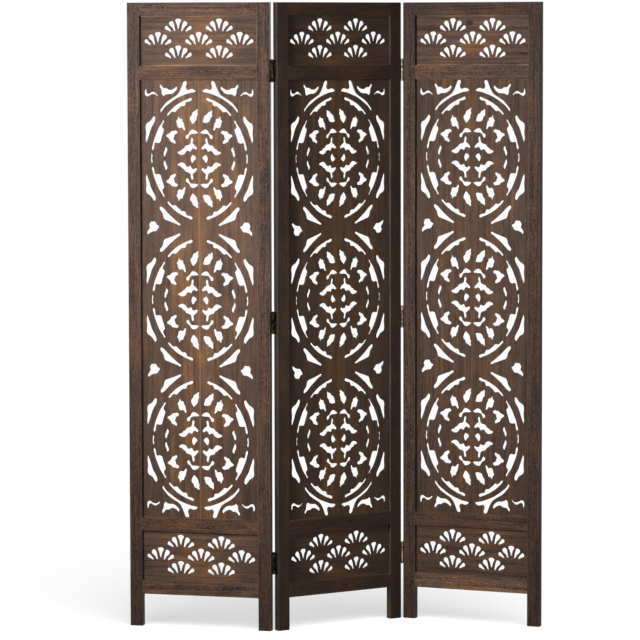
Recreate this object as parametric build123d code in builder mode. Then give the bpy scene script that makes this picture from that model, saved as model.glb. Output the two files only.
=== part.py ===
"""A three-leaf folding jali screen: three carved wooden leaves joined by six butt hinges.

Millimetres. +X runs along the screen, the front faces -Y and +Z is up. The origin is on
the floor, under the middle of the standing screen.

Each leaf is made in its own frame, with x across it from its left edge, y from its front
face to its back face and z up from the floor. It is then turned to its heading.
"""
from build123d import *
import math
import os

# ---------------------------------------------------------------- the leaves
leaf_height = 1700.0
leaf_width = 400.0
leaf_thickness = 20.0
stile_width = 35.5
top_rail_height = 35.0
rail_height = 37.5  # upper middle, lower middle and bottom rails
fan_opening_height = 135.5  # openings of the top and bottom frets
leg_height = 89.0
outer_arris_radius = 1.5
inner_arris = 0.8  # small bevel round every opening
foot_chamfer = 1.2

# ---------------------------------------------------------------- joinery
groove_depth = 8.0
tenon_length = 18.0
tenon_thickness = 8.0
tenon_shoulder = 1.0  # wood left between a tenon and the panel groove
tenon_clearance = 0.1
fret_thickness = 5.0
fret_tongue_thickness = 3.0  # the thinned edge that stands in the grooves
fret_shadow_gap = 0.8  # between the full thickness of a fret and the frame round it
fret_arris = 0.8
fret_side_clearance = 0.1
fret_edge_play = 0.5  # left at the bottom of the groove, so the panel can move

# ---------------------------------------------------------------- how it stands
left_fold_angle = 132.6  # between the left and middle leaves; 180 is flat
right_fold_angle = 124.2  # between the middle and right leaves
middle_heading = 34.4

# ---------------------------------------------------------------- hinges
hinge_end_distance = 183.5  # from the leaf's top and from the floor to a hinge's middle
middle_hinge_drop = 12.0  # below the leaf's half height
hinge_length = 60.0
knuckle_count = 5
knuckle_radius = 2.5
knuckle_gap = 0.3
pin_radius = 1.25
pin_clearance = 0.05
pin_head_radius = 1.9
pin_head_height = 0.8
plate_thickness = 1.2
plate_gap = 1.0  # between the two plates when the leaves stand flat
plate_reach = 15.0  # how far a plate covers the stile, from the pin's side
axis_stand_off = 2.2  # from the leaf's face out to the pin
screw_radius = 1.5
screw_head_radius = 2.6
screw_length = 14.0
screw_tip_length = 3.0
screw_clearance = 0.05
screw_spacing = 22.0
screw_rows = 3
driver_slot_length = 3.2
driver_slot_width = 0.7
driver_slot_depth = 0.7

# ---------------------------------------------------------------- pattern layout
# The outlines are drawn for openings of these sizes and stretched to the real ones.
drawn_opening_width = 329.0
drawn_centre_height = 1192.5
drawn_fan_height = 135.5
medallion_pitch = 383.5
club_height = 194.0  # from the panel's centre to each pair of clubs
fan_column_pitch = 115.0
fan_row_pitch = 36.0
fan_row_offset = 2.0

# ---------------------------------------------------------------- worked-out sizes
opening_width = leaf_width - 2 * stile_width
bottom_opening_bottom = leg_height + rail_height
lower_rail_bottom = bottom_opening_bottom + fan_opening_height
centre_opening_bottom = lower_rail_bottom + rail_height
top_rail_bottom = leaf_height - top_rail_height
top_opening_bottom = top_rail_bottom - fan_opening_height
upper_rail_bottom = top_opening_bottom - rail_height
centre_opening_height = upper_rail_bottom - centre_opening_bottom
openings = {
    "bottom_fret": (bottom_opening_bottom, fan_opening_height),
    "centre_fret": (centre_opening_bottom, centre_opening_height),
    "top_fret": (top_opening_bottom, fan_opening_height),
}
rails = {
    "bottom_rail": (leg_height, rail_height),
    "lower_middle_rail": (lower_rail_bottom, rail_height),
    "upper_middle_rail": (upper_rail_bottom, rail_height),
    "top_rail": (top_rail_bottom, top_rail_height),
}
groove_width = fret_tongue_thickness + 2 * fret_side_clearance
tenon_inset = groove_depth + tenon_shoulder
fret_overlap = groove_depth - fret_edge_play
mid_thickness = leaf_thickness / 2
hinge_heights = (
    hinge_end_distance,
    leaf_height / 2 - middle_hinge_drop,
    leaf_height - hinge_end_distance,
)
axis_side_offset = plate_thickness + plate_gap / 2
screw_across = axis_stand_off + plate_reach / 2
across = opening_width / drawn_opening_width
up_centre = centre_opening_height / drawn_centre_height
up_fan = fan_opening_height / drawn_fan_height

# ---------------------------------------------------------------- outlines of the cut-outs
# Each is a closed smooth curve. These eight fill the upper left quarter of a medallion,
# measured from its centre, and are mirrored to the other three.
scalloped_arc = [
    (-19.5, 161), (-22, 164.2), (-30, 161.8), (-40, 158), (-50, 153), (-60, 147.5), (-70, 140.5),
    (-80, 131.3), (-89.8, 120.6), (-90.9, 118), (-88.6, 116.1), (-84, 119), (-79.5, 124),
    (-75, 126.8), (-70, 125.8), (-66.5, 126.2), (-62, 130.8), (-55, 137), (-48.5, 142.1),
    (-42.5, 142.1), (-38.5, 145.3), (-37, 150.3), (-34, 153.4), (-28, 154.2), (-22.5, 156.7),
]
edge_blade = [
    (-127, 114.5), (-123.4, 111.3), (-123.3, 106), (-126, 98), (-131.5, 88.5), (-136.3, 79),
    (-140, 67), (-144, 55.5), (-147.3, 46), (-149.3, 42.5), (-150.9, 46), (-151, 62), (-151, 78),
    (-150.9, 90.5), (-148.6, 94.8), (-142, 98.9), (-136, 104.3), (-130.4, 112.8),
]
feather_arc = [
    (-99.5, 103.6), (-98.1, 101.2), (-100.6, 96.2), (-103.3, 90.5), (-103.4, 84.2), (-99.6, 79.4),
    (-99.6, 74.5), (-103, 64), (-107, 51), (-110, 44), (-114, 42.1), (-120, 42.4),
    (-123.6, 42.9), (-125.5, 39), (-126.8, 31), (-128.2, 25.5), (-132, 22.2), (-133.9, 25.5),
    (-132.4, 34.5), (-130, 45), (-125, 59.2), (-119, 74), (-111.5, 88.2), (-104, 99.5),
]
sliver = [
    (-94, 31.2), (-91, 28.7), (-89.6, 24.5), (-91.3, 18.7), (-94, 12), (-96.3, 6.3), (-98.2, 4.8),
    (-100.3, 7.5), (-101.1, 12.5), (-99.7, 19.5), (-97, 25.3),
]
tulip = [
    (-94, 62), (-92, 65), (-87, 67), (-82, 70.6), (-77.5, 74.6), (-72.5, 74.8), (-67, 76.3),
    (-62.5, 74.5), (-60.4, 71.4), (-64, 67.3), (-68.7, 64.6), (-69.8, 60), (-71.8, 54),
    (-69.3, 50.2), (-66, 45.5), (-66.6, 41.5), (-70, 40.6), (-75, 43.2), (-81, 45.7),
    (-84, 51.2), (-88.5, 56.6), (-92.6, 59.6),
]
outer_leaf = [
    (-58.8, 115), (-56.4, 112.3), (-53.8, 108.3), (-49, 107.9), (-46.6, 105.7), (-46, 101.2),
    (-43, 96.4), (-41.2, 89.5), (-39.4, 81.5), (-39.6, 76.8), (-42.4, 76.5), (-46, 80.4),
    (-50, 84.2), (-55, 82.6), (-59.5, 84.8), (-62.2, 90), (-63, 95.6), (-65, 100), (-62.3, 105.4),
    (-60.2, 110.8),
]
brow = [
    (-3.2, 70.8), (-7, 74.4), (-13, 77.9), (-19, 79.1), (-24.6, 76.2), (-28.4, 70.4), (-31.2, 66.5),
    (-36.6, 63.5), (-38.9, 58.4), (-37.1, 54.2), (-33.6, 53.1), (-29.9, 56.3), (-27.5, 62.2),
    (-23.5, 66.4), (-17, 67.4), (-9, 67.7),
]
moustache = [
    (-19.8, 56.7), (-17.2, 54.2), (-16.9, 48), (-17.7, 41.5), (-14, 38.2), (-8.6, 33),
    (-5.8, 28), (-8.3, 24.9), (-13, 26.4), (-17, 27.8), (-20.6, 25.6), (-23, 20.6), (-26, 18.8),
    (-29.5, 21), (-33, 21.7), (-36.6, 19.2), (-39.6, 14.5), (-45, 10.8), (-51, 10.2), (-57, 12.3),
    (-61.6, 16), (-59.8, 18.6), (-53.6, 20.4), (-49.5, 25), (-43.5, 28.6), (-40, 33.9),
    (-33, 36.6), (-26.6, 40.2), (-24.5, 46.5), (-23.6, 52.5),
]
quarter_outlines = [
    scalloped_arc, edge_blade, feather_arc, sliver, tulip, outer_leaf, brow, moustache,
]

# These two stand on the left side of a medallion and are mirrored to its right.
edge_dash = [
    (-134.3, 12.8), (-131.6, 9.3), (-132.5, 3), (-132.5, -3), (-131.6, -9.3), (-134.3, -12.8),
    (-136.1, -8), (-136.7, 0), (-136.1, 8),
]
eye = [
    (-17.3, 10.7), (-13, 8.2), (-8.6, 3), (-10.6, -1.2), (-14.6, -5.8), (-17.6, -10.1),
    (-20.4, -10.6), (-23.2, -6.6), (-24.6, -1), (-23.1, 5.4),
]
side_outlines = [edge_dash, eye]

# The two leaves of the upper pair lean the same way, and are mirrored to the lower pair.
left_leaning_leaf = [
    (-4, 133.3), (-2.9, 131.2), (-4.3, 126), (-2.9, 121), (-5.2, 115), (-6.2, 108), (-9.2, 102),
    (-14, 96.7), (-18.5, 93.3), (-22, 97), (-25.2, 103), (-26.8, 109.5), (-25, 114),
    (-21.2, 118), (-19.4, 123.8), (-15.5, 127.5), (-9.5, 130.8),
]
right_leaning_leaf = [
    (36, 131.7), (37.5, 128.6), (37.2, 121), (36.9, 114.2), (32.8, 109.6), (31, 104), (27.8, 99.2),
    (21, 97.2), (14, 97.1), (9.8, 98.9), (10.9, 105.5), (12.6, 111.5), (16, 116.9), (21, 120),
    (25, 125.3), (29.8, 127.1), (33.3, 129.9),
]
paired_leaf_outlines = [left_leaning_leaf, right_leaning_leaf]

# Between two medallions: one quarter of the blades, measured from the gap's centre.
gap_blade = [
    (-109.3, 61.9), (-103.5, 58.9), (-95, 51), (-85, 40.4), (-70, 27.5), (-58, 18), (-53.5, 13.3),
    (-55.6, 10.9), (-62, 12.8), (-76, 18.3), (-92, 24.5), (-99.5, 27.6), (-102, 31.5),
    (-104.2, 40.6), (-108.6, 49), (-113.1, 56), (-112.4, 60.2),
]
# The club at the left edge there, measured from its own height, and mirrored to the right.
club = [
    (-135.5, 18.7), (-132, 18.1), (-128.5, 19.3), (-125, 17.6), (-121.4, 11.8), (-117.8, 8.3),
    (-114.2, 7), (-115.2, 3), (-119.2, -2.8), (-121.8, -6.6), (-129, -7.8), (-137, -10.6),
    (-142.6, -14.2), (-146.6, -17), (-148.5, -14.2), (-147, -7.2), (-143.2, -1.9), (-141.2, 1.6),
    (-142.8, 6.4), (-142, 12.6), (-139, 17),
]

# Above the top medallion, on the left, measured from that medallion's centre.
end_curl = [
    (-149.8, 188.1), (-148, 184.5), (-147.4, 179), (-142, 174.7), (-136.5, 178), (-130, 180.6),
    (-123.5, 178), (-118, 173), (-115.9, 170.4), (-118, 169.4), (-123, 172.8), (-130, 174.1),
    (-136.5, 172.2), (-142, 168.5), (-148, 168.1), (-152.3, 172), (-153.4, 178.5), (-152.3, 185),
]
end_crescent = [
    (-108.6, 200.2), (-105.6, 198), (-101.8, 192.9), (-96.5, 190.2), (-91, 190.3), (-86.4, 187),
    (-80, 185.3), (-73.5, 187.5), (-67.6, 191.8), (-62.9, 194.8), (-60.9, 191), (-63.6, 184.8),
    (-69.4, 178.8), (-76.4, 175), (-88, 174.2), (-95.5, 171.6), (-100.3, 169), (-104, 172.2),
    (-106, 179.5), (-106.9, 187), (-109.8, 192), (-110.8, 197.8),
]
end_wishbone = [
    (-38.8, 209.7), (-34.5, 208), (-33.5, 204), (-35.2, 198), (-35.4, 190), (-31.8, 186),
    (-25, 187.5), (-18, 188.2), (-12, 185.3), (-9.2, 181.4), (-13, 179.5), (-25, 177.6),
    (-38, 173.4), (-50, 168.8), (-62, 163.3), (-76, 154.3), (-89, 144.9), (-101, 133.2),
    (-108.6, 125.5), (-109.4, 129.6), (-104.6, 138), (-96, 148.6), (-84, 158.2), (-70, 166.5),
    (-61, 173.3), (-55, 182), (-50.4, 191.5), (-46.6, 202.2),
]
end_outlines = [end_curl, end_crescent, end_wishbone]

# One fan: the middle petal, and the two on its left that are mirrored to its right.
middle_petal = [
    (0, 21.3), (5.8, 20.4), (9, 16.5), (6.4, 10.6), (4.4, 5), (2.8, -0.5), (1.8, -4.9), (0, -7),
    (-1.8, -4.9), (-2.8, -0.5), (-4.4, 5), (-6.4, 10.6), (-9, 16.5), (-5.8, 20.4),
]
inner_petal = [
    (-17.9, 15), (-13.7, 12.8), (-11.3, 7), (-9.6, 0), (-8.4, -7.5), (-8.3, -12.6), (-11, -11.8),
    (-15.4, -5.5), (-20.4, 0), (-25.7, 5.4), (-26, 10), (-22.2, 13.9),
]
outer_petal = [
    (-32.8, 2.3), (-29.4, 0.4), (-24.4, -5.2), (-20.5, -10.7), (-20.4, -13.8), (-24.4, -12.5),
    (-31.4, -9.2), (-36.9, -6.8), (-38.3, -3),
]
petal_outlines = [inner_petal, outer_petal]


def stretched(outline, up, lift=0.0):
    """Fit a drawn outline to the real opening, lifted by a drawn height."""
    return [(x * across, (y + lift) * up) for x, y in outline]


def cut_out(outline):
    """The flat face inside one closed smooth outline."""
    with BuildSketch() as face:
        with BuildLine():
            Spline(*outline, periodic=True)
        make_face()
    return face.sketch


def medallion_cut_outs():
    """One oval medallion, centred on the origin."""
    with BuildSketch() as medallion:
        for outline in quarter_outlines:
            add(cut_out(stretched(outline, up_centre)))
        mirror(about=Plane.YZ)
        mirror(about=Plane.XZ)
    with BuildSketch() as sides:
        for outline in side_outlines:
            add(cut_out(stretched(outline, up_centre)))
        mirror(about=Plane.YZ)
    with BuildSketch() as leaning_leaves:
        for outline in paired_leaf_outlines:
            add(cut_out(stretched(outline, up_centre)))
        mirror(about=Plane.XZ)
    return medallion.faces() + sides.faces() + leaning_leaves.faces()


def gap_cut_outs():
    """The four blades between two medallions, centred on the origin."""
    with BuildSketch() as gap:
        add(cut_out(stretched(gap_blade, up_centre)))
        mirror(about=Plane.YZ)
        mirror(about=Plane.XZ)
    return gap.faces()


def centre_cut_outs():
    """The whole pattern of a centre fret: three medallions, two gaps, clubs and both ends."""
    pitch = medallion_pitch * up_centre
    with BuildSketch() as clubs:
        for lift in (-club_height, club_height):
            add(cut_out(stretched(club, up_centre, lift)))
        mirror(about=Plane.YZ)
    with BuildSketch() as ends:
        for outline in end_outlines:
            add(cut_out(stretched(outline, up_centre, medallion_pitch)))
        mirror(about=Plane.YZ)
        mirror(about=Plane.XZ)
    medallion = medallion_cut_outs()
    gap = gap_cut_outs()
    pattern = clubs.faces() + ends.faces()
    for lift in (-pitch, 0, pitch):
        pattern += [face.moved(Location((0, lift, 0))) for face in medallion]
    for lift in (-pitch / 2, pitch / 2):
        pattern += [face.moved(Location((0, lift, 0))) for face in gap]
    return pattern


def fan_cut_outs():
    """The seven fans of a top or bottom fret, in rows of two, three and two."""
    with BuildSketch() as fan:
        for outline in petal_outlines:
            add(cut_out(stretched(outline, up_fan)))
        mirror(about=Plane.YZ)
        add(cut_out(stretched(middle_petal, up_fan)))
    column = fan_column_pitch * across
    row = fan_row_pitch * up_fan
    middle_row = fan_row_offset * up_fan
    places = [(x, middle_row) for x in (-column, 0, column)]
    for y in (middle_row - row, middle_row + row):
        places += [(-column / 2, y), (column / 2, y)]
    return [face.moved(Location((x, y, 0))) for x, y in places for face in fan.faces()]


# ---------------------------------------------------------------- wooden pieces
def make_stile(side, screw_depth=None):
    """A stile with its leg: side is -1 for the left one and 1 for the right one.

    screw_depth is how far behind the front face the hinge screws stand, on the outer edge.
    """
    outer_x = leaf_width if side > 0 else 0.0
    inner_x = outer_x - side * stile_width
    free_spans = [(0.0, leg_height)] + list(openings.values())
    groove_bottom = bottom_opening_bottom - groove_depth
    groove_height = top_rail_bottom + groove_depth - groove_bottom
    with BuildPart() as stile:
        with BuildSketch() as section:
            with Locations(((outer_x + inner_x) / 2, mid_thickness)):
                Rectangle(stile_width, leaf_thickness)
            outer_corners = section.vertices().filter_by_position(Axis.X, outer_x, outer_x)
            fillet(outer_corners, radius=outer_arris_radius)
        extrude(amount=leaf_height)
        chamfer(stile.faces().sort_by(Axis.Z)[0].edges(), length=foot_chamfer)
        top_edges = stile.faces().sort_by(Axis.Z)[-1].edges()
        chamfer(top_edges.filter_by(lambda edge: edge.center().X != inner_x), length=inner_arris)
        with Locations((inner_x, mid_thickness, groove_bottom + groove_height / 2)):
            Box(2 * groove_depth, groove_width, groove_height, mode=Mode.SUBTRACT)
        for bottom, height in rails.values():
            with Locations((inner_x, mid_thickness, bottom + height / 2)):
                Box(
                    2 * (tenon_length + tenon_clearance),
                    tenon_thickness + 2 * tenon_clearance,
                    height - 2 * tenon_inset + 2 * tenon_clearance,
                    mode=Mode.SUBTRACT,
                )
        for bottom, height in free_spans:
            with BuildSketch(Plane.XY.offset(bottom)):
                with Locations((inner_x, 0), (inner_x, leaf_thickness)):
                    Rectangle(math.sqrt(2) * inner_arris, math.sqrt(2) * inner_arris, rotation=45)
            extrude(amount=height, mode=Mode.SUBTRACT)
        if screw_depth is not None:
            for height in hinge_heights:
                outer_face = Plane(
                    origin=(outer_x, screw_depth, height),
                    x_dir=(0, 0, 1),
                    z_dir=(side, 0, 0),
                )
                with Locations(outer_face):
                    with GridLocations(screw_spacing, 0, screw_rows, 1):
                        Hole(screw_radius + screw_clearance, depth=screw_length)
    return stile.part


def make_rail(bottom, height, groove_below, groove_above):
    """A rail with a stub tenon at each end and a groove for each fret that it holds."""
    middle = bottom + height / 2
    with BuildPart() as rail:
        with BuildSketch(Plane.YZ.offset(stile_width)) as section:
            with Locations((mid_thickness, middle)):
                Rectangle(leaf_thickness, height)
            chamfer(section.vertices(), length=inner_arris)
        extrude(amount=opening_width)
        groove_middles = []
        if groove_below:
            groove_middles.append(bottom)
        if groove_above:
            groove_middles.append(bottom + height)
        for groove_middle in groove_middles:
            with Locations((leaf_width / 2, mid_thickness, groove_middle)):
                Box(opening_width, groove_width, 2 * groove_depth, mode=Mode.SUBTRACT)
        tenon_middle = opening_width / 2 + tenon_length / 2
        with Locations((leaf_width / 2, mid_thickness, middle)):
            with Locations((-tenon_middle, 0, 0), (tenon_middle, 0, 0)):
                Box(tenon_length, tenon_thickness, height - 2 * tenon_inset)
    return rail.part


def make_fret(cut_outs, bottom, height, upside_down=False):
    """A thin pierced panel, with a thinner tongue along each edge that stands in a groove."""
    middle = (leaf_width / 2, mid_thickness, bottom + height / 2)
    back_face = Plane(
        origin=(middle[0], middle[1] + fret_thickness / 2, middle[2]),
        x_dir=(-1 if upside_down else 1, 0, 0),
        z_dir=(0, -1, 0),
    )
    panel_width = opening_width - 2 * fret_shadow_gap
    panel_height = height - 2 * fret_shadow_gap
    tongue_width = fret_overlap + fret_shadow_gap
    side_offset = (panel_width + tongue_width) / 2
    end_offset = (panel_height + tongue_width) / 2
    with BuildPart() as fret:
        with BuildSketch(back_face):
            Rectangle(panel_width, panel_height)
            add(cut_outs, mode=Mode.SUBTRACT)
        extrude(amount=fret_thickness)
        front = fret.faces().sort_by(Axis.Y)[0]
        back = fret.faces().sort_by(Axis.Y)[-1]
        chamfer(front.outer_wire().edges() + back.outer_wire().edges(), length=fret_arris)
        with Locations(middle):
            with Locations((-side_offset, 0, 0), (side_offset, 0, 0)):
                Box(tongue_width, fret_tongue_thickness, panel_height + 2 * tongue_width)
            with Locations((0, 0, -end_offset), (0, 0, end_offset)):
                Box(panel_width, fret_tongue_thickness, tongue_width)
    return fret.part


# ---------------------------------------------------------------- hinges
# A hinge is made about its pin: z up from its middle, x towards the stile that carries the
# plate and y from the pin's side of the leaf into its thickness.
def make_hinge_plate(own_first_knuckle):
    """A screwed plate with every other knuckle, starting at knuckle 0 or 1."""
    knuckle_pitch = hinge_length / knuckle_count
    lowest = -hinge_length / 2 + knuckle_pitch / 2
    own_heights = [lowest + i * knuckle_pitch for i in range(own_first_knuckle, knuckle_count, 2)]
    knuckle_height = knuckle_pitch - knuckle_gap
    plate_start = knuckle_radius + knuckle_gap
    plate_end = axis_stand_off + plate_reach
    plate_middle_x = axis_side_offset - plate_thickness / 2
    bore_radius = pin_radius + pin_clearance
    with BuildPart() as plate:
        with Locations((plate_middle_x, (plate_start + plate_end) / 2, 0)):
            Box(plate_thickness, plate_end - plate_start, hinge_length)
        for height in own_heights:
            with Locations((0, 0, height)):
                Cylinder(knuckle_radius, knuckle_height)
            with Locations((plate_middle_x, (bore_radius + plate_start) / 2, height)):
                Box(plate_thickness, plate_start - bore_radius, knuckle_height)
        Cylinder(bore_radius, 2 * hinge_length, mode=Mode.SUBTRACT)
        open_face = Plane(
            origin=(axis_side_offset - plate_thickness, screw_across, 0),
            x_dir=(0, 0, 1),
            z_dir=(-1, 0, 0),
        )
        with Locations(open_face):
            with GridLocations(screw_spacing, 0, screw_rows, 1):
                CounterSinkHole(
                    radius=screw_radius + screw_clearance,
                    counter_sink_radius=screw_head_radius + screw_clearance,
                    counter_sink_angle=90,
                )
    return plate.part


def make_pin():
    """A plain pin with a low head at each end, just clear of the knuckles."""
    shank_length = hinge_length + 2 * knuckle_gap
    with BuildPart() as pin:
        Cylinder(pin_radius, shank_length)
        head_middle = (shank_length + pin_head_height) / 2
        with Locations((0, 0, -head_middle), (0, 0, head_middle)):
            Cylinder(pin_head_radius, pin_head_height)
        rims = pin.edges().filter_by(GeomType.CIRCLE).group_by(Axis.Z)
        chamfer(rims[0] + rims[-1], length=pin_head_height / 2)
    return pin.part


def make_screw():
    """A countersunk wood screw with a cross slot; its head is flush with the plate."""
    head_face_x = axis_side_offset - plate_thickness
    cone_height = screw_head_radius - screw_radius
    profile = [
        (0, 0),
        (screw_head_radius, 0),
        (screw_radius, cone_height),
        (screw_radius, screw_length - screw_tip_length),
        (0, screw_length),
    ]
    down_the_screw = Plane(origin=(head_face_x, screw_across, 0), x_dir=(0, 0, 1), z_dir=(0, 1, 0))
    with BuildPart() as screw:
        with BuildSketch(down_the_screw):
            with BuildLine():
                Polyline(*profile, close=True)
            make_face()
        revolve(axis=Axis((0, screw_across, 0), (1, 0, 0)))
        with Locations((head_face_x, screw_across, 0)):
            Box(2 * driver_slot_depth, driver_slot_length, driver_slot_width, mode=Mode.SUBTRACT)
            Box(2 * driver_slot_depth, driver_slot_width, driver_slot_length, mode=Mode.SUBTRACT)
    return screw.part


# ---------------------------------------------------------------- places
def turned(point, heading):
    """A point of a leaf's frame, turned by the leaf's heading about the frame's origin."""
    angle = math.radians(heading)
    x, y = point
    return (x * math.cos(angle) - y * math.sin(angle), x * math.sin(angle) + y * math.cos(angle))


back_axis_y = leaf_thickness + axis_stand_off
front_axis_y = -axis_stand_off
left_edge_axis_x = -axis_side_offset
right_edge_axis_x = leaf_width + axis_side_offset

left_heading = middle_heading - (180 - left_fold_angle)
right_heading = middle_heading - (180 - right_fold_angle)
left_fold_axis = turned((left_edge_axis_x, back_axis_y), middle_heading)
right_fold_axis = turned((right_edge_axis_x, front_axis_y), middle_heading)


def origin_from_axis(axis, point_in_leaf, heading):
    """Where a leaf's own origin stands when one of its points is on a fold's axis."""
    x, y = turned(point_in_leaf, heading)
    return (axis[0] - x, axis[1] - y)


leaf_origins = {
    "left": origin_from_axis(left_fold_axis, (right_edge_axis_x, back_axis_y), left_heading),
    "middle": (0.0, 0.0),
    "right": origin_from_axis(right_fold_axis, (left_edge_axis_x, front_axis_y), right_heading),
}
leaf_headings = {"left": left_heading, "middle": middle_heading, "right": right_heading}

corners = []
for leaf_name, (origin_x, origin_y) in leaf_origins.items():
    for corner in ((0, 0), (leaf_width, 0), (0, leaf_thickness), (leaf_width, leaf_thickness)):
        x, y = turned(corner, leaf_headings[leaf_name])
        corners.append((origin_x + x, origin_y + y))
centre_x = (min(x for x, y in corners) + max(x for x, y in corners)) / 2
centre_y = (min(y for x, y in corners) + max(y for x, y in corners)) / 2
leaf_places = {
    leaf_name: Location((x - centre_x, y - centre_y, 0), (0, 0, leaf_headings[leaf_name]))
    for leaf_name, (x, y) in leaf_origins.items()
}


def write(part, node, place):
    """Put a finished piece in its place and write it under its node's name."""
    placed = part.moved(place)
    placed.label = node
    export_step(placed, f"parts/{node}.step")


# ---------------------------------------------------------------- making it all
os.makedirs("parts", exist_ok=True)

back_screw_depth = leaf_thickness - plate_reach / 2
front_screw_depth = plate_reach / 2
stiles = {
    "left": (make_stile(-1), make_stile(1, back_screw_depth)),
    "middle": (make_stile(-1, back_screw_depth), make_stile(1, front_screw_depth)),
    "right": (make_stile(-1, front_screw_depth), make_stile(1)),
}
rail_parts = {}
for rail_name, (rail_bottom, height) in rails.items():
    rail_parts[rail_name] = make_rail(
        rail_bottom,
        height,
        groove_below=rail_name != "bottom_rail",
        groove_above=rail_name != "top_rail",
    )
centre_pattern = centre_cut_outs()
fan_pattern = fan_cut_outs()
frets = {
    "top_fret": make_fret(fan_pattern, *openings["top_fret"]),
    "centre_fret": make_fret(centre_pattern, *openings["centre_fret"]),
    "bottom_fret": make_fret(fan_pattern, *openings["bottom_fret"]),
}
turned_centre_fret = make_fret(centre_pattern, *openings["centre_fret"], upside_down=True)

for leaf_name, place in leaf_places.items():
    left_stile, right_stile = stiles[leaf_name]
    write(left_stile, f"{leaf_name}_leaf_left_stile", place)
    write(right_stile, f"{leaf_name}_leaf_right_stile", place)
    for rail_name, rail_part in rail_parts.items():
        write(rail_part, f"{leaf_name}_leaf_{rail_name}", place)
    for fret_name, fret in frets.items():
        # The middle leaf's centre panel is set the other way up.
        is_turned = leaf_name == "middle" and fret_name == "centre_fret"
        write(turned_centre_fret if is_turned else fret, f"{leaf_name}_leaf_{fret_name}", place)

pin_part = make_pin()
screw_part = make_screw()
plate_parts = {0: make_hinge_plate(0), 1: make_hinge_plate(1)}
mirrored_plates = {first: mirror(plate, about=Plane.YZ) for first, plate in plate_parts.items()}


def put_hinges(fold, leaf_name, on_right_edge, pin_at_back, first_knuckle):
    """Write one leaf's three plates and its group of screws for one fold."""
    axis_x = right_edge_axis_x if on_right_edge else left_edge_axis_x
    axis_y = back_axis_y if pin_at_back else front_axis_y
    # A half turn brings the pin to the back; it also swaps the plate's side.
    turn = 180 if pin_at_back else 0
    needs_mirror = on_right_edge != pin_at_back
    plate = mirrored_plates[first_knuckle] if needs_mirror else plate_parts[first_knuckle]
    screw = mirror(screw_part, about=Plane.YZ) if needs_mirror else screw_part
    screws = []
    for position, height in zip(("bottom", "middle", "top"), hinge_heights):
        place = leaf_places[leaf_name] * Location((axis_x, axis_y, height), (0, 0, turn))
        write(plate, f"{fold}_fold_{position}_hinge_{leaf_name}_plate", place)
        if first_knuckle == 0:
            write(pin_part, f"{fold}_fold_{position}_hinge_pin", place)
        for row in range(screw_rows):
            lift = (row - (screw_rows - 1) / 2) * screw_spacing
            screws.append(screw.moved(place * Location((0, 0, lift))))
    write(Compound(children=screws), f"{fold}_fold_{leaf_name}_screws", Location())


put_hinges("left", "left", on_right_edge=True, pin_at_back=True, first_knuckle=1)
put_hinges("left", "middle", on_right_edge=False, pin_at_back=True, first_knuckle=0)
put_hinges("right", "middle", on_right_edge=True, pin_at_back=False, first_knuckle=0)
put_hinges("right", "right", on_right_edge=False, pin_at_back=False, first_knuckle=1)
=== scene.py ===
"""The carved jali screen, dressed.

Three folding leaves of stained paulownia on darkened brass hinges, in soft studio light.
"""

import math

import bmesh
import bpy
from mathutils import Matrix, Vector


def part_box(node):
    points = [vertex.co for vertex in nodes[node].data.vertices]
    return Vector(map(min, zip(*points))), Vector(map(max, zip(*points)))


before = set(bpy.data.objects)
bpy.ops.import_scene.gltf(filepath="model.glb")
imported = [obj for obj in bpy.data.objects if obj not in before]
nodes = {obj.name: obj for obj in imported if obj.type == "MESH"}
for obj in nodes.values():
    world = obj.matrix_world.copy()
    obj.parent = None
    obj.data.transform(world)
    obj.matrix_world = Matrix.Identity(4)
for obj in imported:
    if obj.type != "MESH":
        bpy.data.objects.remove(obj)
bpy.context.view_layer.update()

MM = 0.001
# Nearly all of a noise lies between these two.
NOISE_SPREAD = (0.3, 0.7)

# The screen's driving sizes in millimetres, as the CAD has them.
LEAF_HEIGHT = 1700
LEAF_WIDTH = 400
STILE_WIDTH = 35.5
TOP_RAIL_WIDTH = 35
RAIL_WIDTH = 37.5
FAN_OPENING_HEIGHT = 135.5
CENTRE_OPENING_HEIGHT = 1192.5
SHADOW_GAP = 0.8
# How each leaf is turned about the upright, in degrees, as the screen stands in its zigzag.
LEAF_HEADINGS = {"left": -13.0, "middle": 34.4, "right": -21.4}


def linear(hex_colour):
    """An sRGB hex colour as the linear colour that a shader takes."""
    channels = [int(hex_colour[i : i + 2], 16) / 255 for i in (1, 3, 5)]
    return [c / 12.92 if c <= 0.04045 else ((c + 0.055) / 1.055) ** 2.4 for c in channels] + [1.0]


def add(tree, kind, inputs=None, stops=(), **settings):
    """A shader node with its settings and links.

    Each input goes to the live socket of that name or number. It is a number, a vector, a hex
    colour, an output socket, or a whole node, whose first live output is taken. Stops are a
    colour ramp's places and hex colours.
    """
    node = tree.nodes.new("ShaderNode" + kind)
    for name, setting in settings.items():
        setattr(node, name, setting)
    for _ in stops[2:]:
        node.color_ramp.elements.new(0.5)
    for number, (place, colour) in enumerate(stops):
        node.color_ramp.elements[number].position = place
        node.color_ramp.elements[number].color = linear(colour)
    live = {socket.name: socket for socket in node.inputs if socket.enabled}
    for name, source in (inputs or {}).items():
        socket = node.inputs[name] if isinstance(name, int) else live[name]
        if isinstance(source, bpy.types.Node):
            source = next(output for output in source.outputs if output.enabled)
        if isinstance(source, bpy.types.NodeSocket):
            tree.links.new(source, socket)
        else:
            socket.default_value = linear(source) if isinstance(source, str) else source
    return node


def empty_material(name):
    """A material with no nodes in it yet, and its tree."""
    material = bpy.data.materials.new(name)
    material.use_nodes = True
    material.node_tree.nodes.clear()
    return material, material.node_tree


# ---------------------------------------------------------------- stained paulownia

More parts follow.
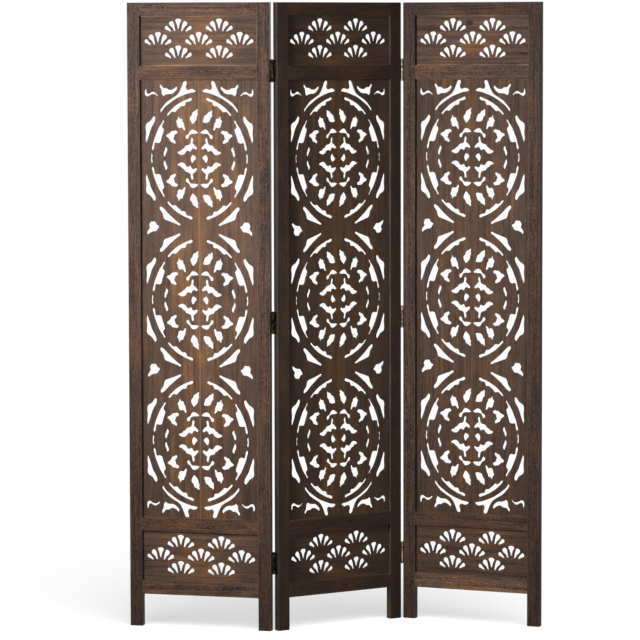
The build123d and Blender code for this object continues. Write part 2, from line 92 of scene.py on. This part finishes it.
# The marks of the grain: each one's width and length in millimetres, how many finer ones it
# holds, and how strong those are. In the wood, pores and flecks are a third of a millimetre wide
# and fibres finer still. All are drawn 2 to 3 mm wide to show.
GRAIN_MARKS = {
    "bands": (12, 500, 1, 0.5),
    "streaks": (3.1, 220, 2, 0.8),
    "fibres": (1.9, 34, 2, 0.7),
    "mottle": (2.8, 5, 1, 0.6),
    "pores": (2.0, 20, 1, 0.5),
    "flecks": (2.6, 8, 1, 0.5),
    "patches": (34, 110, 2, 0.5),
    "plum": (24, 80, 1, 0.5),
}
# How far the grain wanders either way, and over what width and length of a board, in millimetres.
WANDER = 8
WANDER_WIDTH = 45
WANDER_LENGTH = 330
# How far apart in the noise the pieces, their marks and their wander are cut, so that no two of
# them look alike.
PIECE_STEP = 5.3
MARK_STEP = 4.7
WANDER_STEP = 40

# What the stain does on each kind of piece: its colours, how strongly each mark shows in them,
# and how much of the dark pores and the pale flecks shows. The rubbed colour is partly worn wood
# and partly a painted highlight along the edges. Only the stiles have a colour of their own for
# the narrow edges, which is painted shade.
STILE_STAIN = {
    "cool": "#493a34",
    "body": "#533f34",
    "warm": "#5b4435",
    "amber": "#5f4634",
    "plum": "#4f3b38",
    "pore": "#2c201b",
    "fleck": "#856e60",
    # Partly worn wood, partly a painted highlight along the edges.
    "rubbed_and_highlit": "#856b5b",
    # Painted shade on the narrow edges.
    "edge": "#3a322d",
    "figure": {"bands": 1.2, "streaks": 2.7, "fibres": 2.4, "mottle": 2.7},
    "pores": 0.45,
    "flecks": 0.5,
}
RAIL_STAIN = {
    "cool": "#4e3e35",
    "body": "#60483b",
    "warm": "#71503b",
    "amber": "#76533a",
    "plum": "#59423c",
    "pore": "#2e2019",
    "fleck": "#99806e",
    # Partly worn wood, partly a painted highlight along the edges.
    "rubbed_and_highlit": "#977e68",
    "figure": {"bands": 1.3, "streaks": 2.8, "fibres": 2.2, "mottle": 2.5},
    "pores": 0.45,
    "flecks": 0.45,
}
FRET_STAIN = {
    "cool": "#59463a",
    "body": "#644c3e",
    "warm": "#71543e",
    "amber": "#835d3c",
    "plum": "#604540",
    "pore": "#352720",
    "fleck": "#8d745f",
    # Partly worn wood, partly a painted highlight along the edges.
    "rubbed_and_highlit": "#a68d75",
    "figure": {"bands": 1.1, "streaks": 2.0, "fibres": 1.4, "mottle": 0.9},
    "pores": 0.22,
    "flecks": 0.25,
}
# Where the tone of the stain, which runs from 0 to 1, comes to each of its colours.
TONES = {"cool": 0.34, "body": 0.50, "warm": 0.62, "amber": 0.74}
# Where each of these marks, which run from 0 to 1 too, begins to show and where it shows in full.
SHOWN = {"plum": (0.50, 0.66), "pores": (0.58, 0.72), "flecks": (0.58, 0.76)}
PLUM_SHARE = 0.45
# The share of the stain's colour that is left in the darkest streak.
DARKEST_STREAK = 0.2

# How pale each leaf's stiles, rails, fans and centre panel took the stain, and then the pieces
# that differ. Most of these took the stain differently; the two stiles that meet in the right
# fold are darker as painted shade of that fold.
STAIN_DEPTH_AND_FOLD_SHADE = {
    "left": {"stile": 0.89, "rail": 0.97, "fan": 0.90, "centre": 0.87},
    "middle": {"stile": 0.96, "rail": 0.79, "fan": 1.04, "centre": 0.99},
    "right": {"stile": 0.83, "rail": 1.0, "fan": 0.92, "centre": 0.78},
    "left_leaf_bottom_fret": 1.22,
    "left_leaf_bottom_rail": 1.42,
    "left_leaf_upper_middle_rail": 0.67,
    "middle_leaf_upper_middle_rail": 0.71,
    "middle_leaf_bottom_rail": 0.92,
    # Painted shade of the right fold.
    "middle_leaf_right_stile": 0.79,
    # Painted shade of the right fold.
    "right_leaf_left_stile": 0.78,
    "right_leaf_top_fret": 1.05,
    "right_leaf_top_rail": 0.6,
    "right_leaf_upper_middle_rail": 1.15,
    "right_leaf_lower_middle_rail": 0.8,
    "right_leaf_bottom_rail": 1.95,
}
# How strongly the grain shows in each leaf's stiles, rails, fans and centre panel.
GRAIN_STRENGTH = {
    "left": {"stile": 0.9, "rail": 0.9, "fan": 1.0, "centre": 0.9},
    "middle": {"stile": 0.42, "rail": 0.5, "fan": 0.8, "centre": 0.55},
    "right": {"stile": 0.9, "rail": 0.9, "fan": 1.15, "centre": 1.05},
}
# The leaf that is tinted a little colder than the others.
LEAF_TINT = {"middle": "#f2fbff"}

# A panel is wiped thinnest along its middle line, out to the first place, and the stain pools
# towards the second, in millimetres from that line. Each leaf's panels gain this much tone where
# they are wiped, and lose as much as the pool is deep where the stain pools. The pool begins at
# this share of the first place.
PANEL_WIPING = {"centre": (110, 165), "fan": (90, 160)}
WIPED_TONE = {"left": 0.13, "middle": 0.12, "right": 0.06}
POOL_DEPTH = 0.14
POOL_START = 0.7

# How much paler each kind of piece is made along its edges: partly rubbed wear and partly a
# painted highlight where the edges catch the light. The paler strip ends softly between these two
# distances from the edge, in millimetres. It comes and goes with the patches, between the least
# share of it and all of it.
RUBBING_AND_HIGHLIGHT = {"stile": 0.45, "rail": 0.2, "fan": 0.8, "centre": 0.4}
RUBBED_AND_HIGHLIT_STRIP = (0.8, 2.4)
RUBBED_AND_HIGHLIT_PATCHES = (0.36, 0.62)
LEAST_RUBBED_AND_HIGHLIT = 0.25
# The narrow edges of the stiles are darker and colder: painted shade on the faces turned away
# from the light and in the recesses beside the panels. It ends between these two distances from
# the edge, in millimetres.
SHADED_EDGE_STRIP = (0.2, 0.7)
SHADED_EDGE_SHARE = 0.85

# The one knot that shows, near the top edge of its panel: its place with the panel's grain and
# across it, and its size, in millimetres. It is longer with the grain, and fades out between these
# two multiples of its size.
KNOTS = {"right_leaf_top_fret": (8, 47, 8)}
KNOT_COLOUR = "#2a1811"
KNOT_SHARE = 0.9
KNOT_FADE = (0.4, 1.5)
KNOT_SQUEEZE = 0.75
# The panel that is glued up from two boards, with a fine pale line where they meet. The line
# fades out between these two distances from its middle, in millimetres.
GLUED_PANEL = "left_leaf_centre_fret"
GLUE_LINE = (0.6, 2.2)
GLUE_SHARE = 0.55

# How rough the oiled stain is between the fibres and along them.
BETWEEN_FIBRES = 0.66
ALONG_FIBRES = 0.52


def grain_place(tree, piece, leaf, grain):
    """The place on a piece, measured from its middle, with X across the grain and Z along it."""
    low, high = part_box(piece)
    turn = Matrix.Rotation(-math.radians(LEAF_HEADINGS[leaf]), 3, "Z")
    if grain == "level":
        turn = Matrix.Rotation(math.pi / 2, 3, "Y") @ turn
    middle = turn @ ((low + high) / 2)
    spot = add(tree, "TexCoord").outputs["Object"]
    return add(tree, "Mapping", {"Vector": spot, "Rotation": turn.to_euler(), "Location": -middle})


def grain_marks(tree, place, seed):
    """The marks of the grain, each running from 0 to 1, along lines that wander a little."""
    scale = (1 / (WANDER_WIDTH * MM), 1 / (WANDER_WIDTH * MM), 1 / (WANDER_LENGTH * MM))
    wander = {
        "Vector": add(tree, "Mapping", {"Vector": place, "Scale": scale}),
        "W": seed + WANDER_STEP,
        "Scale": 1,
        "Detail": 1,
    }
    wander = add(tree, "TexNoise", wander, noise_dimensions="4D")
    wander = {0: wander, 1: 2 * WANDER * MM, 2: -WANDER * MM}
    wander = add(tree, "Math", wander, operation="MULTIPLY_ADD")
    sideways = add(tree, "CombineXYZ", {"X": wander})
    line = add(tree, "VectorMath", {0: place, 1: sideways}, operation="ADD")
    marks = {}
    for number, (mark, (width, length, detail, roughness)) in enumerate(GRAIN_MARKS.items()):
        scale = (1 / (width * MM), 1 / (width * MM), 1 / (length * MM))
        drawn_out = {
            "Vector": add(tree, "Mapping", {"Vector": line, "Scale": scale}),
            "W": seed + MARK_STEP * number,
            "Scale": 1,
            "Detail": detail,
            "Roughness": roughness,
        }
        marks[mark] = add(tree, "TexNoise", drawn_out, noise_dimensions="4D")
    return marks


def laid_over(tree, colour, stain, value, reach, shares):
    """A colour with another stain laid over it, and how much of that one shows.

    It goes softly from the first share to the second while the value goes through its reach.
    """
    change = {
        "Value": value,
        "From Min": reach[0],
        "From Max": reach[1],
        "To Min": shares[0],
        "To Max": shares[1],
    }
    shown = add(tree, "MapRange", change, interpolation_type="SMOOTHSTEP")
    return add(tree, "Mix", {"Factor": shown, "A": colour, "B": stain}, data_type="RGBA"), shown


def wiped_tone(tree, tone, leaf, kind, off_middle):
    """The tone of the stain, with the cloth's work on a panel by the distance from its middle."""
    if kind in PANEL_WIPING:
        thin, pooled = (distance * MM for distance in PANEL_WIPING[kind])
        for start, end, first, last, operation in (
            (0.0, thin, WIPED_TONE[leaf], 0.0, "ADD"),
            (thin * POOL_START, pooled, 0.0, POOL_DEPTH, "SUBTRACT"),
        ):
            change = {
                "Value": off_middle,
                "From Min": start,
                "From Max": end,
                "To Min": first,
                "To Max": last,
            }
            change = add(tree, "MapRange", change, interpolation_type="SMOOTHSTEP")
            tone = add(tree, "Math", {0: tone, 1: change}, operation=operation)
    return tone


def worn_edges(tree, colour, kind, stain, half, across, along, patches):
    """The colour paler along the edges in patches, as rubbed wear and a painted highlight.

    On the stiles' narrow edges it is darker and colder instead, as painted shade.
    """
    rim = add(tree, "Math", {0: half[0] * MM, 1: across}, operation="SUBTRACT")
    if kind in PANEL_WIPING:
        ends = add(tree, "Math", {0: half[1] * MM, 1: along}, operation="SUBTRACT")
        rim = add(tree, "Math", {0: rim, 1: ends}, operation="MINIMUM")
    # Paler edges: partly rubbed wear, partly a painted highlight.
    rubbed_and_highlit = {
        "Value": rim,
        "From Min": RUBBED_AND_HIGHLIT_STRIP[0] * MM,
        "From Max": RUBBED_AND_HIGHLIT_STRIP[1] * MM,
        "To Min": RUBBING_AND_HIGHLIGHT[kind],
        "To Max": 0.0,
    }
    rubbed_and_highlit = add(tree, "MapRange", rubbed_and_highlit, interpolation_type="SMOOTHSTEP")
    patchy = {
        "Value": patches,
        "From Min": RUBBED_AND_HIGHLIT_PATCHES[0],
        "From Max": RUBBED_AND_HIGHLIT_PATCHES[1],
        "To Min": LEAST_RUBBED_AND_HIGHLIT,
        "To Max": 1.0,
    }
    patchy = add(tree, "MapRange", patchy, interpolation_type="SMOOTHSTEP")
    rubbed_and_highlit = add(tree, "Math", {0: rubbed_and_highlit, 1: patchy}, operation="MULTIPLY")
    rubbed_and_highlit = {"Factor": rubbed_and_highlit, "A": colour, "B": stain["rubbed_and_highlit"]}
    colour = add(tree, "Mix", rubbed_and_highlit, data_type="RGBA")
    # Painted shade on the stiles' narrow edges, darker and colder.
    if "edge" in stain:
        edge = {
            "Value": rim,
            "From Min": SHADED_EDGE_STRIP[0] * MM,
            "From Max": SHADED_EDGE_STRIP[1] * MM,
            "To Min": SHADED_EDGE_SHARE,
            "To Max": 0.0,
        }
        edge = {"Factor": add(tree, "MapRange", edge), "A": colour, "B": stain["edge"]}
        colour = add(tree, "Mix", edge, data_type="RGBA")
    return colour


def stained_paulownia(piece, leaf, kind, grain, half, stain, seed):
    """Paulownia, planed, dipped in walnut stain, wiped and rubbed.

    The eye sees fine straight streaks, wider bands of growth, short pale flecks where the stain
    was wiped off the fibres, dark open pores, slow patches of amber and plum brown, and edges
    paler from rubbing and from a painted highlight, with painted shade on the stiles' narrow
    edges. Half is half the piece's width across the grain and half its length with it, in
    millimetres.
    """
    material, tree = empty_material(f"walnut_stained_paulownia_{piece}")
    depth = STAIN_DEPTH_AND_FOLD_SHADE.get(piece, STAIN_DEPTH_AND_FOLD_SHADE[leaf][kind])
    strength = GRAIN_STRENGTH[leaf][kind]
    place = grain_place(tree, piece, leaf, grain)
    axes = add(tree, "SeparateXYZ", {"Vector": place})
    across = add(tree, "Math", {0: axes.outputs["X"]}, operation="ABSOLUTE")
    along = add(tree, "Math", {0: axes.outputs["Z"]}, operation="ABSOLUTE")
    marks = grain_marks(tree, place, seed)

    off_middle = across if kind == "centre" else along
    tone = wiped_tone(tree, marks["patches"], leaf, kind, off_middle)
    stops = [(turning, stain[name]) for name, turning in TONES.items()]
    colour = add(tree, "ValToRGB", {"Fac": tone}, stops)
    shares = (0.0, PLUM_SHARE)
    colour, _ = laid_over(tree, colour, stain["plum"], marks["plum"], SHOWN["plum"], shares)

    # Each mark darkens and lightens the stain about its mean, which leaves the piece at its depth.
    figure = depth * (1 - 0.5 * strength * sum(stain["figure"].values()))
    for mark, weight in stain["figure"].items():
        share = depth * strength * weight
        figure = add(tree, "Math", {0: marks[mark], 1: share, 2: figure}, operation="MULTIPLY_ADD")
    figure = add(tree, "Math", {0: figure, 1: DARKEST_STREAK * depth}, operation="MAXIMUM")
    filtering = {"data_type": "RGBA", "blend_type": "MULTIPLY"}
    colour = add(tree, "Mix", {"Factor": 1.0, "A": colour, "B": figure}, **filtering)
    if leaf in LEAF_TINT:
        colour = add(tree, "Mix", {"Factor": 1.0, "A": colour, "B": LEAF_TINT[leaf]}, **filtering)
    shares = (0.0, stain["pores"] * strength)
    colour, pores = laid_over(tree, colour, stain["pore"], marks["pores"], SHOWN["pores"], shares)
    shares = (0.0, stain["flecks"] * strength**2)
    colour, _ = laid_over(tree, colour, stain["fleck"], marks["flecks"], SHOWN["flecks"], shares)

    if piece in KNOTS:
        # A pin knot: a dark eye, with the grain darkened round it.
        with_grain, over_grain, size = (distance * MM for distance in KNOTS[piece])
        eye = add(
            tree, "VectorMath", {0: place, 1: (over_grain, 0, with_grain)}, operation="SUBTRACT"
        )
        eye = add(tree, "VectorMath", {0: eye, 1: (1, 0, KNOT_SQUEEZE)}, operation="MULTIPLY")
        eye = add(tree, "VectorMath", {0: eye}, operation="LENGTH")
        reach = [share * size for share in KNOT_FADE]
        colour, _ = laid_over(tree, colour, KNOT_COLOUR, eye, reach, (KNOT_SHARE, 0.0))
    if piece == GLUED_PANEL:
        reach = [distance * MM for distance in GLUE_LINE]
        colour, _ = laid_over(tree, colour, stain["fleck"], across, reach, (GLUE_SHARE, 0.0))

    # The edges paler, as wear and a painted highlight, and the stiles' narrow edges darker, as
    # painted shade.
    colour = worn_edges(tree, colour, kind, stain, half, across, along, marks["patches"])

    # A wiped oil stain: satin along the fibres, and sunk in the pores.
    satin = {
        "Value": marks["fibres"],
        "From Min": NOISE_SPREAD[0],
        "From Max": NOISE_SPREAD[1],
        "To Min": BETWEEN_FIBRES,
        "To Max": ALONG_FIBRES,
    }
    satin = add(tree, "MapRange", satin)
    height = add(tree, "Math", {0: figure, 1: pores}, operation="SUBTRACT")
    bump = add(tree, "Bump", {"Height": height, "Strength": 0.4, "Distance": 0.2 * MM})
    surface = {"Base Color": colour, "Roughness": satin, "Specular IOR Level": 0.1, "Normal": bump}
    add(tree, "OutputMaterial", {"Surface": add(tree, "BsdfPrincipled", surface)})
    return material


rail_half_length = LEAF_WIDTH / 2 - STILE_WIDTH / 2
panel_half_width = LEAF_WIDTH / 2 - STILE_WIDTH - SHADOW_GAP
fan_half_height = FAN_OPENING_HEIGHT / 2 - SHADOW_GAP
centre_half_height = CENTRE_OPENING_HEIGHT / 2 - SHADOW_GAP
seed = 0
for leaf in LEAF_HEADINGS:
    for part, kind, grain, stain, half in (
        ("left_stile", "stile", "upright", STILE_STAIN, (STILE_WIDTH / 2, LEAF_HEIGHT / 2)),
        ("right_stile", "stile", "upright", STILE_STAIN, (STILE_WIDTH / 2, LEAF_HEIGHT / 2)),
        ("top_rail", "rail", "level", RAIL_STAIN, (TOP_RAIL_WIDTH / 2, rail_half_length)),
        ("upper_middle_rail", "rail", "level", RAIL_STAIN, (RAIL_WIDTH / 2, rail_half_length)),
        ("lower_middle_rail", "rail", "level", RAIL_STAIN, (RAIL_WIDTH / 2, rail_half_length)),
        ("bottom_rail", "rail", "level", RAIL_STAIN, (RAIL_WIDTH / 2, rail_half_length)),
        ("top_fret", "fan", "level", FRET_STAIN, (fan_half_height, panel_half_width)),
        ("centre_fret", "centre", "upright", FRET_STAIN, (panel_half_width, centre_half_height)),
        ("bottom_fret", "fan", "level", FRET_STAIN, (fan_half_height, panel_half_width)),
    ):
        piece = f"{leaf}_leaf_{part}"
        seed += PIECE_STEP
        wood = stained_paulownia(piece, leaf, kind, grain, half, stain, seed)
        for slot in nodes[piece].material_slots:
            slot.material = wood


# ---------------------------------------------------------------- darkened brass

# The bath leaves clouds 4 mm across. The scratches are finer than a tenth of a millimetre, and
# are drawn 0.6 mm wide to show. Both are given as how many go to a metre.
CLOUDS = 250
SCRATCHES = (1600, 1600, 110)
# Where bare brass would begin to show and show in full on an unworn plate, and how much of that
# the scratches make up.
BARE = (0.86, 0.98)
SCRATCH_SHARE = 0.35
# How rough the brass is where the bath took well, and where it took least.
ROUGHEST_BRASS = 0.5
SMOOTHEST_BRASS = 0.34


def darkened_brass(name, dark, bare_and_glinting, wear_and_glints, seed):
    """Brass plate darkened in an acid bath and rubbed: nearly black, with glints of bare brass.

    Wear lowers the place from which the bare brass shows; on the right fold's hinges it also
    stands for painted glints.
    """
    material, tree = empty_material(name)
    place = add(tree, "TexCoord").outputs["Object"]
    cloud = {"Vector": place, "W": seed, "Scale": CLOUDS, "Detail": 3, "Roughness": 0.6}
    cloud = add(tree, "TexNoise", cloud, noise_dimensions="4D")
    drawn_out = add(tree, "Mapping", {"Vector": place, "Scale": SCRATCHES})
    scratches = {"Vector": drawn_out, "W": seed + 5, "Scale": 1, "Detail": 2, "Roughness": 0.6}
    scratches = add(tree, "TexNoise", scratches, noise_dimensions="4D")
    worn_and_glinting = {0: scratches, 1: SCRATCH_SHARE, 2: cloud}
    worn_and_glinting = add(tree, "Math", worn_and_glinting, operation="MULTIPLY_ADD")
    reach = [start - wear_and_glints for start in BARE]
    colour, _ = laid_over(tree, dark, bare_and_glinting, worn_and_glinting, reach, (0.0, 1.0))
    satin = {
        "Value": cloud,
        "From Min": NOISE_SPREAD[0],
        "From Max": NOISE_SPREAD[1],
        "To Min": ROUGHEST_BRASS,
        "To Max": SMOOTHEST_BRASS,
    }
    satin = add(tree, "MapRange", satin)
    bump = add(tree, "Bump", {"Height": scratches, "Strength": 0.2, "Distance": 0.2 * MM})
    surface = {"Base Color": colour, "Roughness": satin, "Metallic": 1.0, "Normal": bump}
    add(tree, "OutputMaterial", {"Surface": add(tree, "BsdfPrincipled", surface)})
    return material


# Each group's material: its name, its darkened and its bare colour, its wear and glints and its
# place in the noise. The left fold's hinges are a darker copy, as painted shade, and the right
# fold's a paler, greyer one with more glints, as painted reflections of the white surroundings.
BRASS = {
    # A darker copy: painted shade.
    "left_fold_hinges": ("acid_darkened_brass_painted_shade_left_fold", "#1d1a17", "#857a62", 0.2, 2.0),
    # A paler copy with more glints: painted reflections of the white surroundings.
    "right_fold_hinges": ("acid_darkened_brass_painted_glints_right_fold", "#2a2724", "#a39b88", 0.26, 5.0),
    "screws": ("acid_darkened_brass_screws", "#3a3022", "#a88b58", 0.22, 9.0),
}
brass = {group: darkened_brass(*finish) for group, finish in BRASS.items()}
for name, node in nodes.items():
    fold = "left_fold_hinges" if name.startswith("left_fold") else "right_fold_hinges"
    group = fold if "hinge" in name else "screws" if "screws" in name else None
    if group:
        for slot in node.material_slots:
            slot.material = brass[group]


# ---------------------------------------------------------------- floor, surroundings and lamps

FLOOR_HALF_WIDTH = 40
# How pale the floor is to the light that it throws back on the screen, and how pale it looks.
FLOOR_UNSEEN = "#202020"
FLOOR_SEEN = "#5c5c5c"
# How white the floor looks by itself. The floor lamp brings it up to white, except in the
# screen's shadow.
FLOOR_GLOW = 0.605
# The way the floor lamp shines: down, back and a little to the left, so that the soft shadow
# falls behind the screen. Its width in degrees makes the shadow soft.
FLOOR_LAMP_AIM = (-0.38, 1.15, -1.7)
FLOOR_LAMP_STRENGTH = 15.2
FLOOR_LAMP_WIDTH = 52
# How strong the even light from all sides is.
FILL = 0.07
# Each softbox: its place, what it is aimed at and its width, in metres, its watts, and how far
# its grid lets the light open out, in degrees.
SOFTBOXES = {
    "key_softbox": ((-2.7, -2.7, 1.85), (-0.12, 0, 1.08), 0.9, 8.8, 46),
    "near_softbox": ((-1.4, -1.5, 1.72), (-0.2, 0, 0.95), 0.8, 5.4, 110),
    "left_softbox": ((-3.4, -1.0, 2.1), (-0.15, -0.1, 1.5), 0.9, 2.2, 34),
    "low_softbox": ((3.0, -1.5, 0.8), (0, 0, 0.7), 0.9, 1.0, 46),
    "back_softbox": ((1.3, 3.3, 1.8), (0, 0, 1.0), 1.5, 15, 70),
}
# The camera's lens and film in millimetres, its shift, its place in metres and its turn in degrees.
LENS = 198.39
FILM_WIDTH = 36
CAMERA_SHIFT = -0.02
CAMERA_PLACE = (0.2732, -9.5783, 1.6313)
CAMERA_TURN = (85.47, 0.117, 1.878)


def placed(name, data):
    """A new object in the scene that carries this mesh, lamp or camera."""
    stand = bpy.data.objects.new(name, data)
    bpy.context.scene.collection.objects.link(stand)
    return stand


def looked_at(tree):
    """1 to the eye, in reflections and through glass, and 0 to the light that falls on things."""
    seen = add(tree, "LightPath").outputs
    mirrored = {0: seen["Is Glossy Ray"], 1: seen["Is Transmission Ray"]}
    mirrored = add(tree, "Math", mirrored, operation="MAXIMUM")
    return add(tree, "Math", {0: seen["Is Camera Ray"], 1: mirrored}, operation="MAXIMUM")


def pale_floor():
    """A plain matt floor, white to the eye and darker to the light that falls on the screen."""
    mesh = bpy.data.meshes.new("floor")
    shape = bmesh.new()
    bmesh.ops.create_grid(shape, x_segments=1, y_segments=1, size=FLOOR_HALF_WIDTH)
    shape.to_mesh(mesh)
    shape.free()
    floor = placed("floor", mesh)
    material, tree = empty_material("pale_matt_floor")
    seen = looked_at(tree)
    glow = add(tree, "Math", {0: seen, 1: FLOOR_GLOW}, operation="MULTIPLY")
    glow = add(tree, "Emission", {"Strength": glow})
    tone = add(tree, "Mix", {"Factor": seen, "A": FLOOR_UNSEEN, "B": FLOOR_SEEN}, data_type="RGBA")
    matt = add(tree, "BsdfDiffuse", {"Color": tone})
    both = add(tree, "AddShader", {0: glow, 1: matt})
    add(tree, "OutputMaterial", {"Surface": both})
    mesh.materials.append(material)
    return floor


def floor_lamp(floor):
    """A broad even lamp on the floor alone, which gives it the screen's soft shadow at any fold."""
    lamp = bpy.data.lights.new("floor_lamp", "SUN")
    lamp.energy = FLOOR_LAMP_STRENGTH
    lamp.angle = math.radians(FLOOR_LAMP_WIDTH)
    stand = placed("floor_lamp", lamp)
    stand.rotation_euler = Vector(FLOOR_LAMP_AIM).to_track_quat("-Z", "Y").to_euler()
    lit = bpy.data.collections.new("lit_by_floor_lamp")
    lit.objects.link(floor)
    stand.light_linking.receiver_collection = lit


def white_surroundings():
    """White wherever the eye or a reflection looks past the screen, and a soft even fill."""
    world = bpy.data.worlds.new("studio")
    bpy.context.scene.world = world
    world.use_nodes = True
    tree = world.node_tree
    tree.nodes.clear()
    strength = add(tree, "MapRange", {"Value": looked_at(tree), "To Min": FILL, "To Max": 1.0})
    white = add(tree, "Background", {"Color": "#ffffff", "Strength": strength})
    add(tree, "OutputWorld", {"Surface": white})


def softbox(name, place, aim, width, watts, opening):
    """A square soft lamp."""
    lamp = bpy.data.lights.new(name, "AREA")
    lamp.size = width
    lamp.energy = watts
    lamp.spread = math.radians(opening)
    stand = placed(name, lamp)
    stand.location = place
    stand.rotation_euler = (Vector(aim) - Vector(place)).to_track_quat("-Z", "Y").to_euler()


floor_lamp(pale_floor())
white_surroundings()
for name, settings in SOFTBOXES.items():
    softbox(name, *settings)

camera_data = bpy.data.cameras.new("camera")
camera_data.sensor_width = FILM_WIDTH
camera_data.lens = LENS
camera_data.shift_y = CAMERA_SHIFT
camera = placed("camera", camera_data)
camera.location = CAMERA_PLACE
camera.rotation_euler = [math.radians(angle) for angle in CAMERA_TURN]
bpy.context.scene.camera = camera
bpy.context.scene.view_settings.view_transform = "Standard"
